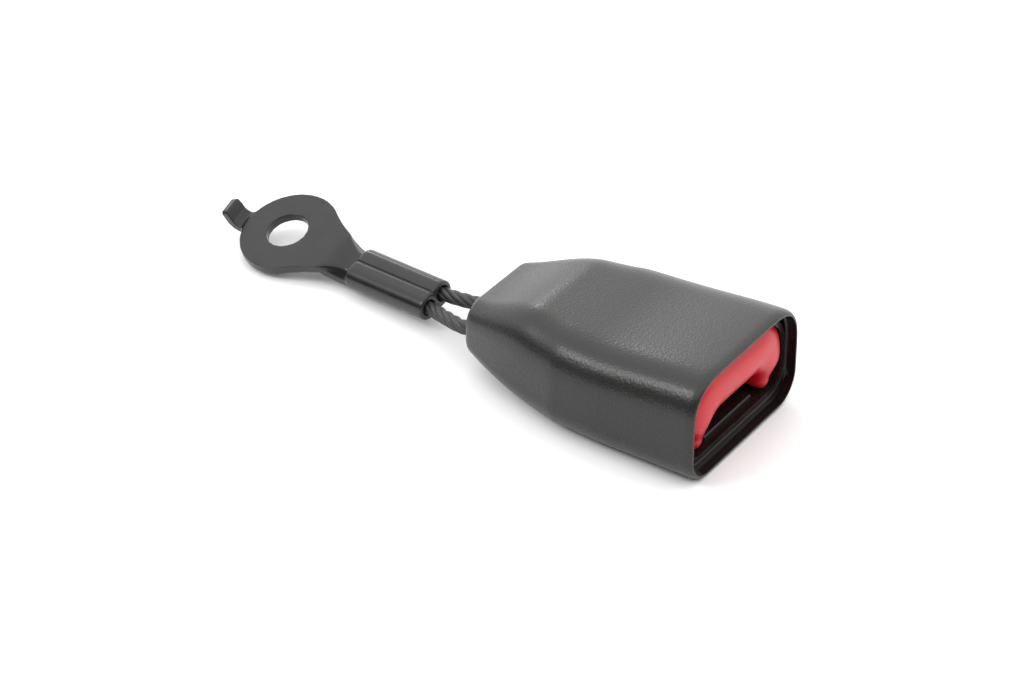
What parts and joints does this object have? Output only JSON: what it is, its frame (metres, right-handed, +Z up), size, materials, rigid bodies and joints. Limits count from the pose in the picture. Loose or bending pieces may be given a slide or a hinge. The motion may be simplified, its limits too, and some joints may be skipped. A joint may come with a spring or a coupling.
{
  "type": "seat belt buckle",
  "caption": "Seat belt buckle in a black grained boot with a red press button, on a stiff looped wire rope that ends in a crimped, bolt-down steel anchor plate.",
  "frame": {"origin": "centre of the boot's flat underside", "axes": "+X along the buckle to its mouth, +Y to its left, +Z up through the boot's roof"},
  "size_m": [0.1625, 0.05, 0.0292],
  "materials": {
    "grained_black": "fine moulded grain, soft sheen",
    "gloss_black": "smooth dark brown-black moulding",
    "button_red": "satin red moulding",
    "zinc_steel": "zinc plated pressed steel",
    "spring_steel": "drawn steel",
    "black_steel": "satin black coated steel",
    "black_rope": "black coated stranded wire",
    "white_acetal": "natural white slide plastic"
  },
  "bodies": {
    "buckle": {"boot_sleeve": "grained_black", "lower_housing": "gloss_black", "upper_housing": "gloss_black", "button_spring_left": "spring_steel", "button_spring_right": "spring_steel", "buckle_frame": "zinc_steel", "latch_pin": "spring_steel", "pin_clip_left": "spring_steel", "pin_clip_right": "spring_steel", "latch_spring": "spring_steel", "ejector_spring": "spring_steel", "rope_saddle": "zinc_steel", "saddle_rivet": "spring_steel", "rivet_washer": "spring_steel", "wire_rope": "black_rope", "anchor_plate": "black_steel"},
    "button": {"press_button": "button_red", "lock_pin": "spring_steel"},
    "ejector": {"ejector": "white_acetal"},
    "latch": {"latch_plate": "zinc_steel"}
  },
  "joints": [
    {"name": "button_press", "type": "slide", "parent": "buckle", "child": "button", "axis": [-1, 0, 0], "range_m": [0, 0.005], "stiffness_N_per_m": 800, "springref_m": -0.003, "deforming": ["button_spring_left", "button_spring_right"]},
    {"name": "ejector_slide", "type": "slide", "parent": "buckle", "child": "ejector", "axis": [-1, 0, 0], "range_m": [0, 0.011], "stiffness_N_per_m": 300, "springref_m": -0.004, "deforming": ["ejector_spring"]},
    {"name": "latch_pivot", "type": "hinge", "parent": "buckle", "child": "latch", "pos_m": [-0.007, 0, 0.01255], "axis": [0, 1, 0], "range_deg": [0, 18.5]}
  ],
  "couplings": [
    {"joint": "latch_pivot", "follows": "ejector_slide", "rad_per_m": 29.35}
  ]
}
